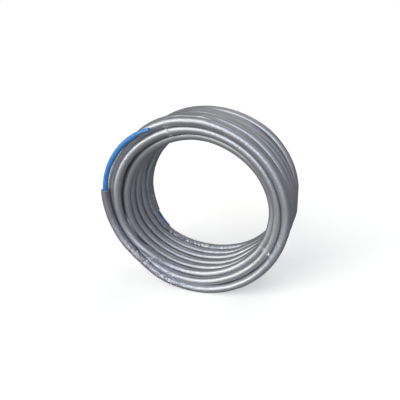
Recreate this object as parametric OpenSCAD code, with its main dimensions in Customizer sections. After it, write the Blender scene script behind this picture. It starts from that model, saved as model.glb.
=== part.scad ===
// Coil of pre-insulated PEX pipe, standing on its rim with the coil's axis level.
// A plain blue PEX pipe runs inside a blue corrugated conduit, and the conduit inside
// a grey foam sleeve with a plastic skin. The sleeve is wound six turns wide and three
// layers deep and held by clear bands. Both ends are cut back in steps.
// Millimetres, +Z up, the coil's axis along Y, its front face towards -Y.

/* [Pipe] */
// Outer diameter of the foam sleeve
insulation_od = 38; // [36:0.5:39]
// Thickness of the foam sleeve
insulation_wall = 4; // [3:0.5:4.5]
// Outer diameter of the corrugated conduit, over its ridges
conduit_od = 23; // [22:0.5:25]
// Distance from one ridge of the conduit to the next
ridge_pitch = 5; // [4.5:0.5:8]
// Height of a ridge
ridge_height = 1.4; // [1:0.1:1.6]
// Wall of the conduit between its ridges
conduit_wall = 0.8; // [0.6:0.1:1]
// Outer diameter of the plain pipe
pipe_od = 16; // [14:0.5:16]
// Wall of the plain pipe
pipe_wall = 2; // [1.5:0.1:2.5]

/* [Coil] */
// Outer diameter of the wound coil
coil_od = 830; // [800:5:860]
// Turns across the coil in one layer
turns_wide = 6; // [4:1:7]
// Distance between the turns of one layer
turn_pitch = 55; // [50:1:56]
// Distance between layers, measured along a radius
layer_step = 33; // [31:0.5:34]
// How far the middle layer sits back from the coil's two faces
middle_set = 16; // [13:1:19]
// How far the inner layer sits back from the front face
inner_set = 47; // [40:1:50]

/* [Outer end] */
// Angle round the coil at which the loose outer end leaves the outer turn
outer_leave = 221; // [218:1:226]
// How far round the loose sleeve reaches, in degrees
outer_sleeve_span = 54; // [50:1:58]
// How far the loose end has sprung open, in degrees
outer_spring = 7; // [6:0.2:8]
// How far the loose end leans out over the front face, in degrees
outer_lean = 2.8; // [2.4:0.2:4]
// Bend radius of the bare conduit at the outer end
outer_bend = 351; // [340:1:370]
// Length of bare conduit at the outer end
outer_conduit_len = 335; // [290:5:350]

/* [Inner end] */
// Angle round the coil at which the sleeve is cut at the inner end
inner_cut = 204; // [198:1:208]
// Length of bare conduit at the inner end
inner_conduit_len = 105; // [90:5:120]
// Length of plain pipe beyond the conduit at both ends
pipe_stub_len = 64; // [50:1:68]

/* [Bands] */
// Width of a clear band
band_w = 14; // [10:1:24]
// Thickness of a clear band
band_t = 0.6; // [0.5:0.1:1]
// Angles of the top, left and right bands round the coil
band_at = [107, 228, 332];

/* [Hidden] */
$fn = 96;
bead_r = insulation_od / 2;
bore_r = bead_r - insulation_wall;
conduit_r = conduit_od / 2;
valley_r = conduit_r - ridge_height;
conduit_bore = valley_r - conduit_wall;
ridge_share = 0.5;                               // a ridge takes up half of its pitch
pipe_r = pipe_od / 2;
half_w = (turns_wide - 1) * turn_pitch / 2;      // middle of the coil to its end turns
outer_r = coil_od / 2 - bead_r;                  // centre lines of the three layers
middle_r = outer_r - layer_step;
inner_r = outer_r - 2 * layer_step;
middle_turns = turns_wide - 1;
middle_half = half_w - middle_set;
core_half = half_w - bead_r / 2;                 // the core stops inside the end turns
inner_pitch = (2 * half_w - inner_set) / (turns_wide - 1);
slack = 0.4;                                     // room between pieces that lie in one another
bite = 0.2;                                      // how far a band presses into the foam
past = 1;                                        // how far a cut runs past the face that it opens
reach_gap = 24;                                  // degrees from the inner pipe's tip to the next turn
loose_r = bead_r - slack;                        // the loose sleeve is a touch slimmer than the wound one
seat_depth = 60;                                 // the conduit and pipe reach this far into the sleeve
conduit_lie = bore_r - conduit_r - slack;        // the conduit lies over to one side of the sleeve
pipe_lie = conduit_bore - pipe_r - slack;         // and the pipe to one side of the conduit
mouth = outer_leave + outer_spring - outer_sleeve_span;
outer_end = mouth - outer_conduit_len / outer_bend * 180 / PI;
inner_end = inner_cut + inner_conduit_len / inner_r * 180 / PI;
cross_slope = 14;                                // slope at which a turn crosses to the next place
cross_span = asin(inner_pitch / (inner_r * sin(cross_slope))) + 1;
notch_end = inner_cut + (inner_conduit_len + pipe_stub_len) / inner_r * 180 / PI + reach_gap;
corners = [[outer_r, -half_w], [outer_r, half_w], [middle_r, middle_half],
           [inner_r, half_w - inner_set], [inner_r, -half_w]];

function u(a) = [cos(a), sin(a), 0];
function turn_angle(len, r) = len / r * 180 / PI;

// the coil is modelled lying on its back, front face up, then stood on its rim
module stand() translate([0, 0, coil_od / 2]) rotate([90, 0, 0]) children();

// an arc of rod about the local origin, from angle a0 to a1, either way round
module arc_rod(r, a0, a1, rod_r)
    rotate([0, 0, a0]) rotate_extrude(angle = a1 - a0) translate([r, 0]) circle(rod_r);

// a straight rod that leaves an arc of radius r at angle a, running anticlockwise (way 1) or clockwise (-1)
module straight_rod(r, a, len, rod_r, way)
    rotate([0, 0, a]) translate([r, 0, 0]) rotate([-90 * way, 0, 0]) cylinder(h = len, r = rod_r);

// corrugated tube along an arc, ridged from a0 to a1 and plain from there to its far end in the sleeve
module corrugated(r, a0, a1, reach) {
    n = floor((a1 - a0) / turn_angle(ridge_pitch, r));
    half = turn_angle(ridge_pitch * ridge_share / 2, r);
    difference() {
        union() {
            arc_rod(r, min(a0, reach), max(a1, reach), valley_r);
            for (i = [0 : n]) {
                a = a0 + half * 1.2 + (a1 - a0 - half * 2.4) * i / n;
                arc_rod(r, a - half, a + half, conduit_r);
            }
        }
        arc_rod(r, min(a0, reach) - 0.2, max(a1, reach) + 0.2, conduit_bore);
    }
}

// plain pipe along an arc from a_end to a_in, with a straight end piece from a_end onwards
module plain_pipe(r, a_end, a_in) {
    way = sign(a_end - a_in);
    difference() {
        union() {
            arc_rod(r, a_end, a_in, pipe_r);
            straight_rod(r, a_end, pipe_stub_len, pipe_r, way);
        }
        union() {
            arc_rod(r, a_end, a_in, pipe_r - pipe_wall);
            straight_rod(r, a_end, pipe_stub_len + past, pipe_r - pipe_wall, way);
        }
    }
}

// places children whose arcs are centred where the sprung outer end's is
module sprung()
    translate([0, 0, half_w]) rotate(a = -outer_lean, v = u(outer_leave))
        translate(outer_r * (u(outer_leave) - u(outer_leave + outer_spring))) children();

// and about the centre of the bare conduit's tighter bend, which starts in the sleeve
module bent() sprung() translate((outer_r - outer_bend) * u(mouth)) children();

// the turns cut across, without the inner turn that is cut short at the back:
// circles for the turns, and a plain core for what lies hidden between them
module winding_profile() {
    for (i = [0 : turns_wide - 1])
        translate([outer_r, -half_w + i * turn_pitch]) circle(bead_r);
    for (i = [1 : turns_wide - 1])
        translate([inner_r, -half_w + i * inner_pitch]) circle(bead_r);
    for (i = [0 : middle_turns - 1])
        translate([middle_r, -middle_half + i * 2 * middle_half / (middle_turns - 1)]) circle(bead_r);
    polygon([[middle_r - bead_r, -core_half], [middle_r + bead_r, -core_half], [middle_r + bead_r, core_half],
        [middle_r, middle_half], [middle_r - bead_r, core_half - inner_set]]);
}

module insulated_coil() color([0.66, 0.67, 0.69]) stand() difference() {
    union() {
        rotate_extrude() winding_profile();
        translate([0, 0, -half_w]) {
            // the inner turn at the back, from where the next one has left its place to its cut end
            arc_rod(inner_r, notch_end, inner_cut + 360, bead_r);
            // the next turn, crossing over into the place that the cut one leaves
            rotate(a = -cross_slope, v = u(notch_end))
                arc_rod(inner_r, notch_end - cross_span, notch_end, loose_r);
        }
        sprung() arc_rod(outer_r, mouth, outer_leave + outer_spring, loose_r);
    }
    bent() arc_rod(outer_bend, mouth - past, mouth + turn_angle(seat_depth, outer_bend), bore_r);
    translate([0, 0, -half_w])
        arc_rod(inner_r, inner_cut - turn_angle(seat_depth, inner_r), inner_cut + past, bore_r);
}

module outer_conduit() color([0.16, 0.45, 0.78]) stand() bent()
    corrugated(outer_bend - conduit_lie, outer_end, mouth, mouth + turn_angle(seat_depth, outer_bend));

module outer_pipe() color([0.30, 0.60, 0.86]) stand() bent()
    plain_pipe(outer_bend - conduit_lie + pipe_lie, outer_end, mouth + turn_angle(seat_depth, outer_bend));

module inner_conduit() color([0.16, 0.45, 0.78]) stand() translate([0, 0, -half_w])
    corrugated(inner_r + conduit_lie, inner_cut, inner_end, inner_cut - turn_angle(seat_depth, inner_r));

module inner_pipe() color([0.30, 0.60, 0.86]) stand() translate([0, 0, -half_w])
    plain_pipe(inner_r + conduit_lie, inner_end, inner_cut - turn_angle(seat_depth, inner_r));

// outline of a loop drawn taut round the bundle of turns, r away from the middles of its corner turns
module taut(r) {
    polygon(corners);
    for (i = [0 : len(corners) - 1]) {
        p = corners[i];
        q = corners[(i + 1) % len(corners)];
        n = [q[1] - p[1], p[0] - q[0]] / norm(q - p);
        translate(p) circle(r);
        polygon([p, p + r * n, q + r * n, q]);
    }
}

// a clear band round the bundle of turns at one angle
module band(a) color([0.85, 0.88, 0.9, 0.4]) stand() rotate([0, 0, a]) rotate([90, 0, 0])
    translate([0, 0, -band_w / 2]) linear_extrude(band_w) difference() {
        taut(bead_r + band_t - bite);
        taut(bead_r - bite);
    }

module band_top() band(band_at[0]);
module band_left() band(band_at[1]);
module band_right() band(band_at[2]);

insulated_coil();
outer_conduit();
outer_pipe();
inner_conduit();
inner_pipe();
band_top();
band_left();
band_right();
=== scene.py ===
import math

import bpy
import numpy as np
from mathutils import Matrix, Vector


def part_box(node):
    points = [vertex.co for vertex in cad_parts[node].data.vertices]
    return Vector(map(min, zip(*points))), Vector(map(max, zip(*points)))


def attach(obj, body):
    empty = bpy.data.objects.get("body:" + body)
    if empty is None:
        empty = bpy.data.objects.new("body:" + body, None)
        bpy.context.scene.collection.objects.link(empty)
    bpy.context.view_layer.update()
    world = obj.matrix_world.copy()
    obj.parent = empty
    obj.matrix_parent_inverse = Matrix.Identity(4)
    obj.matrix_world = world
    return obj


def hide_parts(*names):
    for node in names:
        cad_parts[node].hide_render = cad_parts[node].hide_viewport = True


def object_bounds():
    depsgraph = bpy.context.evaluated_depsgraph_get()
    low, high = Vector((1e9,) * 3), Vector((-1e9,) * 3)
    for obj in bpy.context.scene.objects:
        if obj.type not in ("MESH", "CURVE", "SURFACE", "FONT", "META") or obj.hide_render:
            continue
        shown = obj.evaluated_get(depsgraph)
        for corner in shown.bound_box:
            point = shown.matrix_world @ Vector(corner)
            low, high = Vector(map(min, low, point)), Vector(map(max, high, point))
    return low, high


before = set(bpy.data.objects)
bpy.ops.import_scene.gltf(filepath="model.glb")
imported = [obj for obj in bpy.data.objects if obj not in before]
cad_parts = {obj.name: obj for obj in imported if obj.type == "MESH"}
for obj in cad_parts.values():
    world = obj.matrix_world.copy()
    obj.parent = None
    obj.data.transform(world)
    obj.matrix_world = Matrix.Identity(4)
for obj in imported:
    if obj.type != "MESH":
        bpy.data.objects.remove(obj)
cad_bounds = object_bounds()

# ---------------------------------------------------------------- sizes, in metres
SLEEVE_R = 0.019
SLEEVE_WALL = 0.004
SLEEVE_BORED = 0.032                    # how deep the sleeve's cut ends are bored
CREASE_HEIGHT = 0.0019
CONDUIT_R = 0.0115
CONDUIT_WALL = 0.0008                   # at the foot of a ridge
RIDGE_PITCH = 0.005
RIDGE_HEIGHT = 0.0014
PIPE_R = 0.008
PIPE_WALL = 0.002
PIPE_BORED = 0.02                       # how deep the ends of the pipes and the conduits are bored
STUB_LEN = 0.064
BAND_W = 0.014
BAND_T = 0.0006
BAND_AT = {"band_top": 107, "band_left": 228, "band_right": 333.2}      # degrees round the axis
SLEEVE_SIDES, PIPE_SIDES = 24, 40
EDGE_GAP, BACK_GAP = 0.0004, 0.0015     # room for creases between the turns and the coil's own box

coil_lo, coil_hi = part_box("insulated_coil")
CZ = coil_hi.z / 2                      # height of the coil's axis
WX, WZ = 0.0005, CZ - 0.004             # middle of the winding as it really runs, a little off that axis
CAD_HI = Vector(cad_bounds[1])


# ---------------------------------------------------------------- node helpers
class Sock:
    """A socket that takes arithmetic: a + b, 1 - a and the like add Math nodes."""

    def __init__(self, net, socket):
        self.net, self.socket = net, socket

    def op(self, name, other=None):
        return self.net.math(name, self, other)

    def __add__(self, other): return self.net.math("ADD", self, other)
    def __radd__(self, other): return self.net.math("ADD", other, self)
    def __sub__(self, other): return self.net.math("SUBTRACT", self, other)
    def __rsub__(self, other): return self.net.math("SUBTRACT", other, self)
    def __mul__(self, other): return self.net.math("MULTIPLY", self, other)
    def __rmul__(self, other): return self.net.math("MULTIPLY", other, self)
    def __truediv__(self, other): return self.net.math("DIVIDE", self, other)
    def __rtruediv__(self, other): return self.net.math("DIVIDE", other, self)


class Net:
    """Adds nodes to a tree."""

    def __init__(self, tree):
        self.tree = tree

    def node(self, kind, settings=None, ins=None):
        """A node: its settings are set first, then the values or links of its sockets."""
        made = self.tree.nodes.new(kind)
        for key, value in (settings or {}).items():
            setattr(made, key, value)
        for key, value in (ins or {}).items():
            if isinstance(value, Sock):
                self.tree.links.new(value.socket, made.inputs[key])
            elif value is not None:
                made.inputs[key].default_value = value
        return made

    def out(self, kind, settings=None, ins=None, out=0):
        """One output of a new node."""
        return Sock(self, self.node(kind, settings, ins).outputs[out])

    def math(self, name, a, b=None):
        return self.out("ShaderNodeMath", {"operation": name}, {0: a, 1: b})

    def vec(self, name, a, b=None, scale=None):
        return self.out("ShaderNodeVectorMath", {"operation": name}, {0: a, 1: b, "Scale": scale})

    def join(self, x, y, z):
        return self.out("ShaderNodeCombineXYZ", None, {0: x, 1: y, 2: z})

    def noise(self, vector, scale, detail=2.0, rough=0.5):
        return self.out("ShaderNodeTexNoise", {"noise_dimensions": "3D"},
                        {"Vector": vector, "Scale": scale, "Detail": detail, "Roughness": rough})

    def ramp(self, value, lo, hi, at_lo=0.0, at_hi=1.0):
        """Goes softly from one value to another while the input goes from lo to hi."""
        return self.out("ShaderNodeMapRange", {"interpolation_type": "SMOOTHSTEP"},
                        {0: value, 1: lo, 2: hi, 3: at_lo, 4: at_hi})

    def across(self, along, around, per_metre, hold, shift=(0.0, 0.0)):
        """Where to read noise for marks that run across a tube: quick along it, slow round it."""
        return self.vec("ADD", self.vec("SCALE", around, scale=hold), self.join(along * per_metre, *shift))

    def more(self, a, b, kind="FLOAT"):
        """True where a is more than b."""
        at = {"FLOAT": 0, "INT": 2}[kind]
        settings = {"data_type": kind, "operation": "GREATER_THAN"}
        return self.out("FunctionNodeCompare", settings, {at: a, at + 1: b})

    def logic(self, name, a, b):
        return self.out("FunctionNodeBooleanMath", {"operation": name}, {0: a, 1: b})


# ---------------------------------------------------------------- materials
FILM_DEEP, FILM_PALE = (0.424, 0.434, 0.466), (0.482, 0.490, 0.521)
# the second colour on the next line is a painted bluish reflection for the creased stretches
# the third colour on the next line only darkens the sleeve towards the loose end's mouth
FILM_DUSTY, FILM_BLUE_REFLECTION, FILM_DARKER_END = (0.255, 0.262, 0.285), (0.455, 0.475, 0.580), (0.170, 0.178, 0.200)
FILM_METAL, FILM_ROUGH, FILM_IOR = 0.8, 0.35, 1.4
PUCKERS_PER_M, FOLDS_PER_M, TICKS_PER_M = 260.0, 75.0, 82.0
TICK_KEEN, TICK_HEIGHT = 14.0, 2.3
FOAM_DEEP, FOAM_PALE = (0.30, 0.31, 0.33), (0.44, 0.45, 0.47)
CONDUIT_DEEP, CONDUIT_PALE = (0.035, 0.175, 0.480), (0.055, 0.235, 0.600)
CONDUIT_ROUGH, CONDUIT_GRAIN = 0.34, 420.0
PIPE_DEEP, PIPE_PALE = (0.060, 0.230, 0.560), (0.080, 0.280, 0.640)
PIPE_ROUGH, PIPE_GRAIN = 0.26, 300.0
BAND_WHITE, BAND_CLEAR = (0.86, 0.88, 0.91, 1.0), (0.97, 0.975, 0.98, 1.0)
BAND_ROUGH, BAND_IOR, BAND_MOST = 0.16, 1.5, 0.85      # and the most of it that is seen


def material(name, look):
    made = bpy.data.materials.new(name)
    made.use_nodes = True
    made.node_tree.nodes.clear()
    net = Net(made.node_tree)
    net.node("ShaderNodeOutputMaterial", None, {"Surface": look(net)})
    return made


def attribute(net, name, out="Fac"):
    return net.out("ShaderNodeAttribute", {"attribute_name": name}, None, out)


def own_place(net):
    """The piece's own coordinates."""
    return net.out("ShaderNodeTexCoord", None, None, "Object")


def mix_colour(net, factor, a, b):
    a, b = (value if isinstance(value, Sock) else (*value, 1.0) for value in (a, b))
    return net.out("ShaderNodeMix", {"data_type": "RGBA", "blend_type": "MIX"}, {0: factor, 6: a, 7: b}, 2)


def bump(net, height, strength, distance):
    ins = {"Height": height, "Strength": strength, "Distance": distance}
    return net.out("ShaderNodeBump", None, ins, "Normal")


def sleeve_look(net):
    """Grey film with a sheen like metal: cloudy, dusty, creased in places, with a painted bluish reflection
    on the creases, and darker towards the loose end's mouth.
    """
    along, crease, darker_end = (attribute(net, name) for name in ("along", "crease", "darker_end"))
    around = attribute(net, "around", "Vector")
    place = own_place(net)
    cloud = net.noise(place, 5.0, 3.0)
    dust = net.noise(place, 38.0, 4.0, 0.6)
    colour = mix_colour(net, net.ramp(cloud, 0.35, 0.65), FILM_DEEP, FILM_PALE)
    colour = mix_colour(net, net.ramp(dust, 0.55, 0.8) * 0.25, colour, FILM_DUSTY)
    # painted bluish reflection on the creased stretches, at most half strength
    colour = mix_colour(net, crease.op("MINIMUM", 0.5), colour, FILM_BLUE_REFLECTION)
    # darker towards the loose end's mouth
    colour = mix_colour(net, darker_end * 0.5, colour, FILM_DARKER_END)
    # fine puckers in patches, broader folds, and narrow pinched ticks where the film is creased
    pucker = net.noise(net.across(along, around, PUCKERS_PER_M, 0.9), 1.0, 2.0, 0.55)
    patch = net.ramp(net.noise(place, 9.0, 2.0), 0.42, 0.68)
    fold = net.noise(net.across(along, around, FOLDS_PER_M, 1.3), 1.0, 3.0, 0.6)
    pinch = net.noise(net.across(along, around, TICKS_PER_M, 0.7, (0.0, 7.0)), 1.0, 1.0)
    tick = 1.0 - ((pinch - 0.5).op("ABSOLUTE") * TICK_KEEN).op("MINIMUM", 1.0)
    height = pucker * (0.10 + 0.2 * patch + 0.3 * crease) + fold * (0.2 + 0.4 * crease)
    height = height + tick * crease * TICK_HEIGHT
    return net.out("ShaderNodeBsdfPrincipled", None, {
        "Base Color": colour, "Roughness": FILM_ROUGH + 0.10 * dust + 0.05 * cloud,
        "Normal": bump(net, height, 0.9, 0.0012), "Metallic": FILM_METAL, "IOR": FILM_IOR})


def foam_look(net):
    """Closed cells of cut foam."""
    place = own_place(net)
    cells = net.out("ShaderNodeTexVoronoi", None, {"Vector": place, "Scale": 900.0}, "Distance")
    colour = mix_colour(net, net.ramp(net.noise(place, 60.0, 3.0), 0.3, 0.7), FOAM_DEEP, FOAM_PALE)
    return net.out("ShaderNodeBsdfPrincipled", None, {
        "Base Color": colour, "Roughness": 0.8, "Normal": bump(net, cells, 0.5, 0.0006)})


def blue_look(deep, pale, rough, grain):
    """Blue plastic with a faint grain."""
    def look(net):
        place = own_place(net)
        fine = net.noise(place, grain, 3.0)
        colour = mix_colour(net, net.ramp(net.noise(place, 26.0, 3.0), 0.3, 0.7), deep, pale)
        return net.out("ShaderNodeBsdfPrincipled", None, {
            "Base Color": colour, "Roughness": rough + 0.1 * fine, "Normal": bump(net, fine, 0.12, 0.0004)})
    return look


def band_look(net):
    """Clear film: hardly seen, with white edges in places and painted glints, more of them on its crests."""
    place = own_place(net)
    streak = net.ramp(net.noise(place, 70.0, 3.0), 0.5, 0.75)
    glint = net.ramp(net.noise(place, 95.0, 2.0), 0.56, 0.66)
    edge, crest = attribute(net, "edge"), attribute(net, "crest")
    white_edge = net.ramp(edge, 0.15, 0.7) * net.ramp(net.noise(place, 34.0, 1.0), 0.40, 0.52)
    # the glints are painted highlights, strongest where the band faces the front
    share = 0.03 + 0.05 * streak + 0.65 * white_edge + (0.25 + 0.7 * crest) * glint
    body = net.out("ShaderNodeBsdfPrincipled", None, {
        "Base Color": BAND_WHITE, "Roughness": BAND_ROUGH, "IOR": BAND_IOR})
    clear = net.out("ShaderNodeBsdfTransparent", None, {"Color": BAND_CLEAR})
    return net.out("ShaderNodeMixShader", None, {0: share.op("MINIMUM", BAND_MOST), 1: clear, 2: body})


MATERIALS = {
    "sleeve": material("grey_sleeve_film", sleeve_look),
    "foam": material("sleeve_foam", foam_look),
    "conduit": material("blue_conduit", blue_look(CONDUIT_DEEP, CONDUIT_PALE, CONDUIT_ROUGH, CONDUIT_GRAIN)),
    "pipe": material("blue_pipe", blue_look(PIPE_DEEP, PIPE_PALE, PIPE_ROUGH, PIPE_GRAIN)),
    "band": material("clear_film", band_look),
}


# ---------------------------------------------------------------- the bored tube, as a geometry node tree
RIDGE_FLAT, RIDGE_FOOT = 0.17, 0.33     # where a ridge's shoulder starts and ends, in shares of its pitch
CREASES_PER_M, CREASE_KEEN, CREASE_DEEPEST = 62.0, 9.0, -0.6
LUMPS_PER_M, LUMP_SHARE = 16.0, 0.45
LIP_SHARE, LIP_RISE = 0.16, 0.8         # the rounded lip, in shares of the wall and of its own width
WALL_FACE_CORNERS = 4                   # a face of the tube's wall; the end faces have more
KEEN_EDGE = 0.95                        # edges that turn more than this, in radians, stay sharp


def new_tree(name, inputs):
    tree = bpy.data.node_groups.new(name, "GeometryNodeTree")
    tree.interface.new_socket("Geometry", in_out="INPUT", socket_type="NodeSocketGeometry")
    for label, kind in inputs:
        tree.interface.new_socket(label, in_out="INPUT", socket_type="NodeSocket" + kind)
    tree.interface.new_socket("Geometry", in_out="OUTPUT", socket_type="NodeSocketGeometry")
    net = Net(tree)
    enter = net.node("NodeGroupInput")
    return net, {socket.name: Sock(net, socket) for socket in enter.outputs if socket.name}


def carried(net, name, kind="FLOAT"):
    """What each point or face carries under a name."""
    return net.out("GeometryNodeInputNamedAttribute", {"data_type": kind}, {"Name": name}, "Attribute")


def bored_tube():
    """A round tube along a line of points, with ridges, creases and bored ends."""
    net, given = new_tree("bored_tube", [
        ("Outer Radius", "Float"), ("Wall", "Float"), ("Mouth Depth", "Float"), ("Sides", "Int"),
        ("Ridge Pitch", "Float"), ("Ridge Height", "Float"), ("Crease Height", "Float"),
        ("Lip Material", "Material"), ("Material", "Material")])
    radius, wall = given["Outer Radius"], given["Wall"]
    line = net.out("GeometryNodeMeshToCurve", None, {0: given["Geometry"]})
    along = carried(net, "along")
    # a ridge takes half of its pitch and has round shoulders
    phase = (along / given["Ridge Pitch"]).op("FRACT")
    ridge = net.ramp((phase - 0.5).op("ABSOLUTE"), RIDGE_FLAT, RIDGE_FOOT, 1.0, 0.0)
    girth = carried(net, "girth") * (1.0 - (1.0 - ridge) * given["Ridge Height"] / radius)
    line = net.out("GeometryNodeSetCurveRadius", None, {"Curve": line, "Radius": girth})
    ring = net.out("GeometryNodeCurvePrimitiveCircle", {"mode": "RADIUS"},
                   {"Resolution": given["Sides"], "Radius": radius}, "Curve")
    mesh = net.out("GeometryNodeCurveToMesh", None, {"Curve": line, "Profile Curve": ring, "Fill Caps": True})
    mesh = net.out("GeometryNodeStoreNamedAttribute", {"data_type": "FLOAT_VECTOR", "domain": "POINT"},
                   {"Geometry": mesh, "Name": "around", "Value": net.out("GeometryNodeInputNormal")})
    # creases run across the tube and fade as they go round it; lumps are longer and softer
    around = carried(net, "around", "FLOAT_VECTOR")
    fold = net.noise(net.across(along, around, CREASES_PER_M, 0.8), 1.0, 2.0, 0.5)
    fold = (1.0 - (fold - 0.5).op("ABSOLUTE") * CREASE_KEEN).op("MAXIMUM", CREASE_DEEPEST)
    lump = net.noise(net.across(along, around, LUMPS_PER_M, 0.5, (4.0, 0.0)), 1.0, 1.0)
    lift = (fold * carried(net, "crease") * 0.5 + (lump - 0.5) * LUMP_SHARE) * given["Crease Height"]
    mesh = net.out("GeometryNodeSetPosition", None, {
        "Geometry": mesh, "Offset": net.vec("SCALE", around, scale=lift)})
    # the end faces that are open: a rounded lip, then the bore
    corners = net.out("GeometryNodeInputMeshFaceNeighbors", None, None, "Vertex Count")
    top = net.logic("AND", net.more(corners, WALL_FACE_CORNERS, "INT"), net.more(carried(net, "open"), 0.5))
    lip = wall * LIP_SHARE
    rim = None
    for push, shrink in (
            (lip * LIP_RISE, (radius - lip) / radius),
            (0.0, (radius - wall + lip) / (radius - lip)),
            (lip * -LIP_RISE, (radius - wall) / (radius - wall + lip)),
            (given["Mouth Depth"] * -1.0, 1.0)):
        pushed = net.node("GeometryNodeExtrudeMesh", {"mode": "FACES"},
                          {"Mesh": mesh, "Selection": top, "Offset Scale": push, "Individual": True})
        mesh, top, side = (Sock(net, pushed.outputs[key]) for key in ("Mesh", "Top", "Side"))
        mesh = net.out("GeometryNodeScaleElements", {"domain": "FACE"},
                       {"Geometry": mesh, "Selection": top, "Scale": shrink})
        rim = side if rim is None else net.logic("OR", rim, side)
    mesh = net.out("GeometryNodeStoreNamedAttribute", {"data_type": "BOOLEAN", "domain": "FACE"},
                   {"Geometry": mesh, "Name": "rim", "Value": net.logic("OR", rim, top)})
    mesh = net.out("GeometryNodeSetShadeSmooth", {"domain": "FACE"}, {"Geometry": mesh, "Shade Smooth": True})
    angle = net.out("GeometryNodeInputMeshEdgeAngle", None, None, "Unsigned Angle")
    mesh = net.out("GeometryNodeSetShadeSmooth", {"domain": "EDGE"},
                   {"Geometry": mesh, "Selection": net.more(angle, KEEN_EDGE), "Shade Smooth": False})
    mesh = net.out("GeometryNodeRealizeInstances", None, {0: mesh})
    mesh = net.out("GeometryNodeSetMaterial", None, {"Geometry": mesh, "Material": given["Material"]})
    mesh = net.out("GeometryNodeSetMaterial", None, {
        "Geometry": mesh, "Selection": carried(net, "rim", "BOOLEAN"), "Material": given["Lip Material"]})
    net.node("NodeGroupOutput", None, {0: mesh})
    return net.tree


BORED_TUBE = bored_tube()


def put_in_scene(name, data):
    made = bpy.data.objects.new(name, data)
    bpy.context.scene.collection.objects.link(made)
    return made


def keep_value(mesh, name, values):
    """Stores a number on each point of a mesh."""
    mesh.attributes.new(name, "FLOAT", "POINT").data.foreach_set("value", np.asarray(values, np.float32))


def tube(name, points, values, sizes, skin, lip):
    """Grows the bored tube along a line of points and keeps the result as a plain mesh."""
    mesh = bpy.data.meshes.new(name)
    mesh.from_pydata([tuple(p) for p in points], [(i, i + 1) for i in range(len(points) - 1)], [])
    for key, value in values.items():
        keep_value(mesh, key, value)
    piece = put_in_scene(name, mesh)
    modifier = piece.modifiers.new("grow", "NODES")
    modifier.node_group = BORED_TUBE
    sockets = {s.name: s.identifier for s in BORED_TUBE.interface.items_tree if s.in_out == "INPUT"}
    for key, value in {**sizes, "Material": MATERIALS[skin], "Lip Material": MATERIALS[lip]}.items():
        modifier[sockets[key]] = value
    piece.update_tag()
    bpy.context.view_layer.update()
    shown = piece.evaluated_get(bpy.context.evaluated_depsgraph_get())
    grown = bpy.data.meshes.new_from_object(shown)
    piece.modifiers.remove(modifier)
    piece.data = grown
    grown.name = name
    return piece


# ---------------------------------------------------------------- the way the sleeve runs
# Angles round the axis run from 3 o'clock (0) over the top (90), and a turn starts at 9 o'clock (180).
# A station is an angle, a distance from the axis and one in front of the coil's middle, in millimetres.
TURN = 360
INNER_STEPS = [180, 195, 210, 225, 240, 255, 270, 290, 310, 330, 345, 360, 390, 420, 450, 480, 510]
INNER_START = [(165, 366, 74), (180, 370, 78), (195, 374, 86)]
INNER_WALL = [  # front turn of the middle layer, then the inner layer from the front to the back
    ([None, None, 381, 385, 372, 364, 359, 350, 348, 351, 351, 351, 349, 352, 362, 373, 385],
     [None, None, 98, 112, 120, 124, 124, 124, 123, 122, 121, 121, 122, 122, 122, 125, 130]),
    ([383, 379, 367, 352, 352, 345, 338, 329, 325, 327, 328, 330, 325, 322, 330, 338, 351],
     [130, 125, 120, 113, 94] + [91] * 11 + [90]),
    ([358, 362, 361, 355, 348, 340, 334, 330, 328, 335, 340, 335, 329, 329, 330, 334, 350],
     [89, 81, 67, 54, 47] + [46] * 12),
    ([354, 357, 357, 352, 344, 337, 332, 330, 327, 340, 343, 337, 329, 329, 330, 333, 343],
     [45, 37, 23, 8, 1] + [0] * 12),
    ([345, 348, 349, 347, 340, 332, 327, 326, 327, 345, 348, 338, 329, 329, 330, 333, 346],
     [-1, -8, -23, -39, -47] + [-48] * 11 + [-47]),
    ([339, 340, 344, 345, 337, 328, 324, 327, 329, 348, 350, 339, 329, 329, 331, 332, 329],
     [-48, -53, -67, -84, -93] + [-94] * 12),
    ([336, 337, 340, 343, 333, 323, 319, 323, 336, 347, 349, 339, 330, 329, 330, 332, 334],
     [-94, -98, -111, -130] + [-140] * 13),
]
INNER_END = [(180, 336, -138), (195, 336, -138), (204, 338, -138)]
FRONT_TURN = [
    (225, 391, 140), (230, 391, 139), (236, 394, 138), (245, 394, 138), (255, 392, 137), (270, 391, 137),
    (290, 389, 137), (310, 387, 138), (330, 387, 138), (360, 390, 139), (390, 387, 139), (420, 388, 138),
    (450, 400, 136), (465, 406, 130), (480, 411, 125), (495, 414, 121), (510, 416, 117), (525, 418, 115)]
OUTER_STEPS = [180, 195, 210, 225, 240, 255, 270, 290, 310, 330, 345, 360,
               380, 395, 410, 422, 435, 450, 465, 480, 510]
OUTER_WALL = [  # the outer layer from the front to the back
    ([418, 416, 410, 402, 396, 393, 392, 391, 391, 391, 392, 390,
      384, 376, 375, 378, 386, 403, 409, 416, 416], [112, 104, 88, 76, 74] + [76] * 16),
    ([408, 404, 400, 397, 395, 393, 392, 392, 392, 392, 393, 392,
      388, 384, 383.5, 385.5, 388, 395, 402, 405, 407], [70, 58, 42, 27] + [22] * 17),
    ([402, 402, 400, 397, 395, 393, 392, 392, 392, 393, 396, 395,
      390, 386, 383, 383, 387, 396, 402, 406, 407], [16, 4, -12, -26] + [-30] * 17),
    ([402, 402, 400, 397, 395, 393, 392, 392, 392, 394, 398, 396,
      390, 385, 382, 384, 386, 396, 403, 407, 407], [-36, -48, -64, -79] + [-84] * 17),
    ([402, 402, 400, 397, 395, 393, 392, 392, 392, 395, 401, 398,
      400, 399, 398, 395, 394, 396, 402, 407, 406],
     [-90, -103, -118, -133] + [-138] * 14 + [-137, -137, -136]),
]
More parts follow.
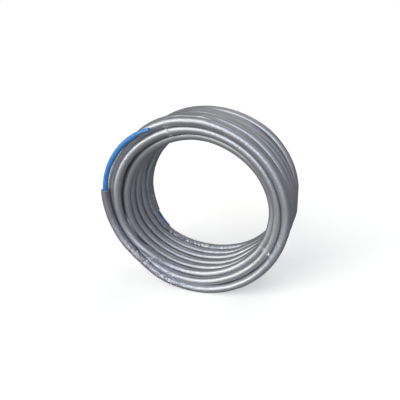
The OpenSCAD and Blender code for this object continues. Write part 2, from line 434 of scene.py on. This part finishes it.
MIDDLE_PLACES = [-122, -73, -24, 24, 73]      # hidden turns of the middle layer, from the back to the front
MIDDLE_R, MIDDLE_STEPS = 363, (270, 300, 330, 360, 390, 420, 450, 480, 510)
MIDDLE_CROSSING = ((180, 0.1, 376), (195, 0.3, 375), (210, 0.6, 374), (225, 0.9, 370), (240, 1, 366))
MIDDLE_DROP = 14                        # the first of them starts this much further out
MIDDLE_END = [(180, 370, 78), (195, 374, 86), (210, 381, 98)]


def stations_outer():
    """Front turn, outer wall and the hidden middle turns."""
    rows = list(FRONT_TURN)
    for turn, (radii, places) in enumerate(OUTER_WALL, 1):
        rows += [(a + TURN * turn, r, f) for a, r, f in zip(OUTER_STEPS, radii, places)]
    before, drop = OUTER_WALL[-1][1][-1], MIDDLE_DROP
    for turn, place in enumerate(MIDDLE_PLACES, 1 + len(OUTER_WALL)):
        rows += [(a + TURN * turn, r + drop * (1 - share), before + (place - before) * share)
                 for a, share, r in MIDDLE_CROSSING]
        rows += [(a + TURN * turn, MIDDLE_R, place) for a in MIDDLE_STEPS]
        before, drop = place, 0
    last = 1 + len(OUTER_WALL) + len(MIDDLE_PLACES)
    return rows + [(a + TURN * last, r, f) for a, r, f in MIDDLE_END]


def stations_inner():
    """From the front turn of the middle layer to the cut end at the back."""
    rows = list(INNER_START)
    for turn, (radii, places) in enumerate(INNER_WALL):
        rows += [(a + TURN * turn, r, f) for a, r, f in zip(INNER_STEPS, radii, places) if r is not None]
    return rows + [(a + TURN * len(INNER_WALL), r, f) for a, r, f in INNER_END]


def curve_through(xs, ys, at):
    """Smooth curve through stations, with slopes taken from the neighbours on both sides."""
    xs, ys = np.asarray(xs, float), np.asarray(ys, float)
    h = np.diff(xs)
    d = np.diff(ys) / h
    m = np.empty_like(ys)
    m[0], m[-1] = d[0], d[-1]
    m[1:-1] = (h[1:] * d[:-1] + h[:-1] * d[1:]) / (h[:-1] + h[1:])
    i = np.clip(np.searchsorted(xs, at) - 1, 0, len(h) - 1)
    t = (at - xs[i]) / h[i]
    return ((1 + 2 * t) * (1 - t) ** 2 * ys[i] + t * (1 - t) ** 2 * h[i] * m[i]
            + t * t * (3 - 2 * t) * ys[i + 1] + t * t * (t - 1) * h[i] * m[i + 1])


def strand(rows, start, stop, step):
    """Angles and points along the stations."""
    angle = np.arange(start, stop, step)
    if stop - angle[-1] > step * 0.3:
        angle = np.append(angle, stop)
    xs = [row[0] for row in rows]
    r = curve_through(xs, [row[1] for row in rows], angle)
    f = curve_through(xs, [row[2] for row in rows], angle)
    a = np.radians(angle)
    return angle, np.stack([WX + r * np.cos(a) / 1000, -f / 1000 + 0 * a, WZ + r * np.sin(a) / 1000], -1)


# the loose end: an arc that has sprung open about the place where it leaves the front turn
LEAVE, SPRUNG, LEAN, MOUTH = 220.8, 6.9, 2.8, 174.0             # degrees
FRONT_R, FRONT_F, BEND = 396.0, 137.0, 351.0                    # millimetres, as in the next two lines
CONDUIT_LEN, CONDUIT_LIE, PIPE_LIE = 335.0, 1.3, 1.2
SAG, DROOP, STUB_BEND = 4.0, 5.0, 270.0


def unit(angle):
    """The way out from the axis at an angle, with the axis along the third number."""
    a = np.radians(angle)
    return np.stack([np.cos(a), np.sin(a), 0 * a], -1)


def loose(points):
    """Points given round the sprung arc's own centre, brought to their place."""
    p = points + FRONT_R * (unit(LEAVE) - unit(LEAVE + SPRUNG))
    k, a = unit(LEAVE), math.radians(-LEAN)
    p = p * math.cos(a) + np.cross(k, p) * math.sin(a) + np.outer(p @ k, k) * (1 - math.cos(a))
    p = p / 1000
    return np.stack([WX + p[:, 0], -p[:, 2] - FRONT_F / 1000, WZ + p[:, 1]], -1)


def loose_arc(r, start, stop, step):
    """The sleeve's own arc, which sags a little between its mouth and the front turn."""
    angle = np.arange(start, stop, step)
    dip = SAG * np.sin(np.pi * (angle - start) / (stop - start))
    return loose((r - dip)[:, None] * unit(angle))


def bare_arc(r, angles):
    """The bare conduit's arc, which bends more towards its tip."""
    way = np.clip((MOUTH - angles) * math.radians(BEND) / CONDUIT_LEN, 0, 1)
    return loose((r - DROOP * way ** 2)[:, None] * unit(angles) + (FRONT_R - BEND) * unit(MOUTH))


def run_of(points):
    """How far along its line each point lies."""
    steps = np.linalg.norm(np.diff(points, axis=0), axis=1)
    return np.concatenate([[0.0], np.cumsum(steps)])


def even(points, spacing):
    """The same line with points at the given spacing, a number or one for each input point."""
    s = run_of(points)
    if np.isscalar(spacing):
        at = np.linspace(0, s[-1], max(2, int(round(s[-1] / spacing)) + 1))
    else:
        density = np.concatenate([[0], np.cumsum(np.diff(s) / (0.5 * (spacing[1:] + spacing[:-1])))])
        at = np.interp(np.linspace(0, density[-1], int(round(density[-1])) + 1), density, s)
    return np.stack([np.interp(at, s, points[:, k]) for k in range(3)], -1)


def soften(points, reach, share):
    """Rounds a line off over a number of points, at its full strength where the share is 1."""
    pad = 3 * reach
    k = np.exp(-0.5 * (np.arange(-pad, pad + 1) / reach) ** 2)
    k /= k.sum()
    p = np.concatenate([2 * points[0] - points[pad:0:-1], points, 2 * points[-1] - points[-2:-pad - 2:-1]])
    out = np.stack([np.convolve(p[:, i], k, "valid") for i in range(3)], -1)
    return points + (out - points) * share[:, None]


def keep_in_box(points):
    """Keeps the turns within the coil's own height, side and back."""
    points = points.copy()
    points[:, 2] = np.clip(points[:, 2], SLEEVE_R + EDGE_GAP, CAD_HI.z - SLEEVE_R - EDGE_GAP)
    points[:, 0] = np.minimum(points[:, 0], CAD_HI.x - SLEEVE_R - EDGE_GAP)
    points[:, 1] = np.minimum(points[:, 1], CAD_HI.y - SLEEVE_R - BACK_GAP)
    return points


def angle_of(points):
    """The angle round the axis at which each point lies."""
    return np.degrees(np.arctan2(points[:, 2] - WZ, points[:, 0] - WX)) % TURN


def past(angle, at):
    """Degrees from one angle to another, the short way round."""
    return (angle - at + TURN / 2) % TURN - TURN / 2


def hump(angle, at, width):
    """1 at one angle, falling softly to 0 on both sides."""
    return np.exp(-0.5 * (past(angle, at) / width) ** 2)


def waver(s, seed, size, lengths):
    """A gentle change along the length, the same each run."""
    rng = np.random.default_rng(seed)
    out = np.zeros_like(s)
    for length in lengths:
        out += np.sin(2 * np.pi * s / length + rng.uniform(0, 2 * np.pi)) * rng.uniform(0.6, 1.0)
    return size * out / len(lengths)


# ---------------------------------------------------------------- the sleeve's two strands
ARC_STEP = 0.5                          # degrees between the points that a path is drawn with
ARC_SHORT, WOUND_LATE = 3, 6            # the loose arc ends and the wound path starts so far from the joint
JOINT_SOFT, JOINT_REACH = 9, 24.0       # in points
# pairs of an angle and the spacing of the points up to it, close where the film shows and wide where hidden
OUTER_SPACING = ((292, 0.0025), (540, 0.0048), (540 + 5 * TURN, 0.0062), (math.inf, 0.016))
INNER_HIDDEN_UNTIL, INNER_HIDDEN_SPACING, INNER_SPACING = 195, 0.012, 0.0052
# creases, which also carry a painted bluish reflection: a little everywhere, more along the first metres,
# and some stretches; a stretch is a share, the angle that it lies about and its width in degrees
OUTER_CREASED, INNER_CREASED = 0.05, 0.10
LOOSE_CREASED, LOOSE_LENGTH = 0.10, 2.8
FRONT_LENGTH, FRONT_STRETCHES = 3.0, ((0.95, 221, 17), (0.45, 250, 14), (0.4, 335, 10))
LAST_CREASED, LAST_FROM, LAST_GROWS, LAST_STRETCHES = 0.95, 11.0, 2.4, ((1, 200, 30), (1, 255, 22))
FIRST_LENGTH, FIRST_STRETCHES = 4.4, ((0.6, 243, 8),)
DARKER_END_LENGTH = 0.20
GIRTH_WAVER, GIRTH_LENGTHS = 0.012, (0.31, 0.83, 0.19)
BAND_SQUEEZE, BAND_SQUEEZE_WIDTH = 0.05, 1.1


def outer_line():
    """The line of the loose end, the front turn, the outer wall and the hidden middle turns."""
    tail = loose_arc(FRONT_R, MOUTH, LEAVE + SPRUNG - ARC_SHORT, ARC_STEP)
    rows = stations_outer()
    angles, wound = strand(rows, LEAVE + WOUND_LATE, rows[-1][0], ARC_STEP)
    path = keep_in_box(np.concatenate([tail, wound]))
    share = np.clip(1.5 - np.abs(np.arange(len(path)) - len(tail)) / JOINT_REACH, 0, 1)
    turned = np.concatenate([np.zeros(len(tail)), angles])
    spacing = np.select([turned < until for until, _ in OUTER_SPACING], [gap for _, gap in OUTER_SPACING])
    return even(soften(path, JOINT_SOFT, share), spacing)


def inner_line():
    """The line of the inner layer, from inside the winding to its cut end."""
    rows = stations_inner()
    angles, wound = strand(rows, rows[0][0], rows[-1][0], ARC_STEP)
    spacing = np.where(angles < INNER_HIDDEN_UNTIL, INNER_HIDDEN_SPACING, INNER_SPACING)
    return even(keep_in_box(wound), spacing)


def creased(angle, stretches):
    return sum(share * hump(angle, at, width) for share, at, width in stretches)


def sleeve(name, points, crease, darker_end, open_start, open_end):
    """A strand of the sleeve, squeezed where the bands cross it."""
    s = run_of(points)
    angle = angle_of(points)
    girth = 1 + waver(s, 7, GIRTH_WAVER, GIRTH_LENGTHS)
    for at in BAND_AT.values():
        girth -= BAND_SQUEEZE * hump(angle, at, BAND_SQUEEZE_WIDTH)
    opening = np.zeros(len(points))
    opening[0], opening[-1] = open_start, open_end
    carries = {"along": s, "girth": girth, "crease": crease, "darker_end": darker_end, "open": opening}
    return tube(name, points, carries, {
        "Outer Radius": SLEEVE_R, "Wall": SLEEVE_WALL, "Mouth Depth": SLEEVE_BORED, "Sides": SLEEVE_SIDES,
        "Ridge Pitch": 1.0, "Ridge Height": 0.0, "Crease Height": CREASE_HEIGHT}, "sleeve", "foam")


outer_path = outer_line()
s_outer, a_outer = run_of(outer_path), angle_of(outer_path)
crease_outer = (OUTER_CREASED + LOOSE_CREASED * (s_outer < LOOSE_LENGTH)
                + (s_outer < FRONT_LENGTH) * creased(a_outer, FRONT_STRETCHES))
darker_end_outer = np.exp(-(s_outer / DARKER_END_LENGTH) ** 2)       # the colour darkens towards the loose end's mouth
outer_turns = sleeve("outer_turns", outer_path, crease_outer, darker_end_outer, 1, 0)

inner_path = inner_line()
s_inner, a_inner = run_of(inner_path), angle_of(inner_path)
late = np.clip((s_inner - LAST_FROM) / LAST_GROWS, 0, 1)
crease_inner = (INNER_CREASED + late * LAST_CREASED * creased(a_inner, LAST_STRETCHES)
                + (s_inner < FIRST_LENGTH) * creased(a_inner, FIRST_STRETCHES))
inner_turns = sleeve("inner_turns", inner_path, crease_inner, 0 * s_inner, 0, 1)

for piece in (outer_turns, inner_turns):
    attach(piece, "root")
    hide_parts("insulated_coil")


# ---------------------------------------------------------------- conduit and pipe at both ends
CONDUIT_SPACING, PIPE_SPACING = RIDGE_PITCH / 8, 0.005
CONDUIT_HIDDEN, PIPE_HIDDEN = 4.5, 4.0                          # degrees that each reaches into the mouth
INNER_TAIL = [(196, 337, -138), (204, 338, -141), (210, 338.5, -144), (216, 338.5, -145), (222, 338, -145),
              (230, 336, -145), (240, 334, -145)]
INNER_CONDUIT_SPAN, INNER_PIPE_SPAN = (200, 222), (201, 233)    # degrees


def bare(name, node, points, radius, wall, ridge_height, slot):
    """A length of conduit or pipe whose first end is open."""
    plain, opening = np.zeros(len(points)), np.zeros(len(points))
    opening[0] = 1
    carries = {"along": run_of(points), "girth": 1 + plain, "crease": plain, "open": opening}
    piece = tube(name, points, carries, {
        "Outer Radius": radius, "Wall": wall, "Mouth Depth": PIPE_BORED, "Sides": PIPE_SIDES,
        "Ridge Pitch": RIDGE_PITCH, "Ridge Height": ridge_height, "Crease Height": 0.0}, slot, slot)
    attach(piece, "root")
    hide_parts(node)


def conduit(name, node, points):
    bare(name, node, points, CONDUIT_R, RIDGE_HEIGHT + CONDUIT_WALL, RIDGE_HEIGHT, "conduit")


def pipe(name, node, points):
    bare(name, node, points, PIPE_R, PIPE_WALL, 0.0, "pipe")


def inner_tail(span, spacing):
    """The line beyond the sleeve's inner end, from its tip inwards."""
    return even(strand(INNER_TAIL, *span, ARC_STEP)[1], spacing)[::-1]


def stub(line):
    """The pipe beyond the conduit: it goes on from the line's first point and keeps bending inwards."""
    way = line[0] - line[1]
    way /= np.linalg.norm(way)
    inward = np.array([WX, line[0][1], WZ]) - line[0]
    inward -= way * (inward @ way)
    inward /= np.linalg.norm(inward)
    reach = np.linspace(STUB_LEN, 0.002, 16)[:, None]
    return line[0] + reach * way + reach ** 2 / (2 * STUB_BEND / 1000) * inward


conduit_r = BEND - CONDUIT_LIE
tip = MOUTH - math.degrees(CONDUIT_LEN / BEND)
conduit_line = bare_arc(conduit_r, np.linspace(tip, MOUTH + CONDUIT_HIDDEN, 240))
pipe_line = bare_arc(conduit_r + PIPE_LIE, np.linspace(tip, MOUTH + PIPE_HIDDEN, 120))
conduit("outer_conduit_ridged", "outer_conduit", even(conduit_line, CONDUIT_SPACING))
pipe("outer_pipe_round", "outer_pipe", even(np.concatenate([stub(pipe_line), pipe_line]), PIPE_SPACING))
conduit("inner_conduit_ridged", "inner_conduit", inner_tail(INNER_CONDUIT_SPAN, CONDUIT_SPACING))
pipe("inner_pipe_round", "inner_pipe", inner_tail(INNER_PIPE_SPAN, PIPE_SPACING))


# ---------------------------------------------------------------- clear bands
BAND_BITE = 0.985                       # the band presses a little into each sleeve
BAND_SPACING = 3.0                      # millimetres
BAND_DRIFT, BAND_DRIFT_LENGTHS = 0.35, (0.09, 0.047)    # how much it strays, in mm, and how often, in m
# a band's cut: a share of its width, a share of its thickness, and 1 at the edges that show white
BAND_CUT = ((-0.5, 0, 1), (-0.5, 1, 1), (-0.36, 1, 0), (0.36, 1, 0),
            (0.5, 1, 1), (0.5, 0, 1), (0.36, 0, 0), (-0.36, 0, 0))
CIRCLE_POINTS, NEARBY = 48, 20          # points round a turn, and the degrees that count as beside it


def hull(points):
    """Outline of the smallest convex shape round flat points, anticlockwise."""
    points = sorted(map(tuple, points))

    def half(seq):
        out = []
        for p in seq:
            while len(out) > 1 and ((out[-1][0] - out[-2][0]) * (p[1] - out[-2][1])
                                    - (out[-1][1] - out[-2][1]) * (p[0] - out[-2][0])) <= 0:
                out.pop()
            out.append(p)
        return out[:-1]
    return np.array(half(points) + half(points[::-1]))


def turns_at(at):
    """Where the turns pass an angle: distance from the axis and in front of the middle, in millimetres."""
    section = []
    for points in (outer_path, inner_path):
        rest = past(angle_of(points), at)
        radius = np.hypot(points[:, 0] - WX, points[:, 2] - WZ) * 1000
        section += [(radius[i], -points[i, 1] * 1000) for i in range(len(points) - 1)
                    if rest[i] * rest[i + 1] <= 0 and max(abs(rest[i]), abs(rest[i + 1])) < NEARBY]
    return section


def taut_loop(at):
    """A line drawn taut round the turns that pass an angle: its run, its points and their outward ways."""
    reach = SLEEVE_R * 1000 * BAND_BITE
    round_a_turn = [2 * math.pi * k / CIRCLE_POINTS for k in range(CIRCLE_POINTS)]
    loop = hull([(r + reach * math.cos(a), f + reach * math.sin(a))
                 for r, f in turns_at(at) for a in round_a_turn])
    closed = np.concatenate([loop, loop[:1]])
    s = run_of(closed)
    t = np.linspace(0, s[-1], int(s[-1] / BAND_SPACING), endpoint=False)
    loop = np.stack([np.interp(t, s, closed[:, k]) for k in range(2)], -1)
    tangent = np.roll(loop, -1, 0) - np.roll(loop, 1, 0)
    tangent /= np.linalg.norm(tangent, axis=1)[:, None]
    return t, loop, np.stack([tangent[:, 1], -tangent[:, 0]], -1)


def band(name, node, at):
    """A clear band drawn taut round the turns that pass at one angle."""
    t, loop, outward = taut_loop(at)
    a = math.radians(at)
    radial, side = np.array([math.cos(a), 0, math.sin(a)]), np.array([-math.sin(a), 0, math.cos(a)])
    front, centre = np.array([0, -1.0, 0]), np.array([WX, 0, WZ])
    drift = waver(t / 1000, 3 + int(at), BAND_DRIFT, BAND_DRIFT_LENGTHS)
    points, edges, crests = [], [], []
    for (r, f), (out_r, out_f), w in zip(loop, outward, drift):
        for x, y, edge in BAND_CUT:
            lift = y * BAND_T * 1000
            points.append(tuple(centre + radial * (r + out_r * lift) / 1000
                                + front * (f + out_f * lift) / 1000 + side * (x * BAND_W + w / 1000)))
            edges.append(edge)
            # how much the band faces the front here, where the painted glints gather
            crests.append(max(0.0, out_f) ** 2)
    n, m = len(loop), len(BAND_CUT)
    faces = [(i * m + j, i * m + (j + 1) % m, (i + 1) % n * m + (j + 1) % m, (i + 1) % n * m + j)
             for i in range(n) for j in range(m)]
    mesh = bpy.data.meshes.new(name)
    mesh.from_pydata(points, [], faces)
    keep_value(mesh, "edge", edges)
    keep_value(mesh, "crest", crests)
    mesh.materials.append(MATERIALS["band"])
    piece = put_in_scene(name, mesh)
    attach(piece, "root")
    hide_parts(node)


for node, at in BAND_AT.items():
    band("clear_" + node, node, at)


# ---------------------------------------------------------------- floor, light and camera
FLOOR_HALF = 60.0
FLOOR_DEEP, FLOOR_PALE, FLOOR_LIT, FLOOR_GLOW = (0.88,) * 3, (0.90,) * 3, (0.22,) * 3, (0.42,) * 3
ROOM_WHITE, ROOM_FILL, ROOM_FILL_STRENGTH = (1, 1, 1, 1), (0.93, 0.96, 1.0, 1), 0.22
LAMP_SPREAD = math.radians(40)
LAMPS = (  # name, the way its light travels, strength, colour
    ("key_high_left", (0.36, 0.72, -0.70), 1.20, (1.0, 0.98, 0.92)),
    ("side_low_left", (0.75, 0.65, -0.10), 1.62, (1.0, 0.985, 0.89)),
    ("front_low", (-0.10, 1.0, -0.10), 0.96, (1.0, 0.93, 0.82)),
    ("front_cool", (-0.27, 0.89, -0.37), 0.64, (0.60, 0.78, 1.0)),
    ("right_high", (-0.80, 0.25, -0.55), 0.16, (1.0, 1.0, 1.0)),
    ("back_high", (-0.20, -0.50, -0.85), 0.36, (1.0, 0.98, 0.90)),
)
AZIMUTH, ELEVATION, ROLL = (math.radians(a) for a in (16.8, 21.9, -1.6))
AWAY, SENSOR, LENS, SHIFT = 2.0394, 36.0, 39.24, -0.014
AIM_Y = 0.008


def background_seen(net):
    """1 where the background is seen straight or through clear film, and 0 where it only lights the coil."""
    path = net.node("ShaderNodeLightPath")
    straight, through = (Sock(net, path.outputs[key]) for key in ("Is Camera Ray", "Is Transmission Ray"))
    return straight.op("MAXIMUM", through)


def floor_look(net):
    """Pale where it is seen, and a plain grey where it only lights the coil."""
    seen = background_seen(net)
    pale = mix_colour(net, net.noise(own_place(net), 3.0, 3.0), FLOOR_DEEP, FLOOR_PALE)
    return net.out("ShaderNodeBsdfPrincipled", None, {
        "Base Color": mix_colour(net, seen, FLOOR_LIT, pale), "Roughness": 0.7,
        "Emission Color": mix_colour(net, seen, (0, 0, 0), FLOOR_GLOW), "Emission Strength": 1.0})


mesh = bpy.data.meshes.new("floor")
mesh.from_pydata([(x * FLOOR_HALF, y * FLOOR_HALF, 0) for x, y in ((-1, -1), (1, -1), (1, 1), (-1, 1))],
                 [], [(0, 1, 2, 3)])
mesh.materials.append(material("floor", floor_look))
floor = put_in_scene("floor", mesh)

world = bpy.data.worlds.new("room")
bpy.context.scene.world = world
world.use_nodes = True
world.node_tree.nodes.clear()
net = Net(world.node_tree)
white = net.out("ShaderNodeBackground", None, {"Color": ROOM_WHITE, "Strength": 1.0})
fill = net.out("ShaderNodeBackground", None, {"Color": ROOM_FILL, "Strength": ROOM_FILL_STRENGTH})
sky = net.out("ShaderNodeMixShader", None, {0: background_seen(net), 1: fill, 2: white})
net.node("ShaderNodeOutputWorld", None, {"Surface": sky})

for name, travels, strength, colour in LAMPS:
    lamp = bpy.data.lights.new(name, "SUN")     # wide, soft and distant
    lamp.energy, lamp.angle, lamp.color = strength, LAMP_SPREAD, colour
    put_in_scene(name, lamp).rotation_euler = Vector(travels).to_track_quat("-Z", "Y").to_euler()

back = Vector((math.sin(AZIMUTH) * math.cos(ELEVATION), -math.cos(AZIMUTH) * math.cos(ELEVATION),
               math.sin(ELEVATION)))
right = Vector((math.cos(AZIMUTH), math.sin(AZIMUTH), 0.0))
up = back.cross(right)
right, up = (right * math.cos(ROLL) + up * math.sin(ROLL), up * math.cos(ROLL) - right * math.sin(ROLL))
eye = Vector((WX, AIM_Y, WZ)) + back * AWAY
lens = bpy.data.cameras.new("camera")
lens.sensor_width, lens.lens, lens.shift_x = SENSOR, LENS, SHIFT
lens.clip_start, lens.clip_end = 0.05, 200
camera = put_in_scene("camera", lens)
camera.matrix_world = Matrix([(right[k], up[k], back[k], eye[k]) for k in range(3)] + [(0, 0, 0, 1)])
bpy.context.scene.camera = camera
bpy.context.scene.view_settings.view_transform = "Standard"
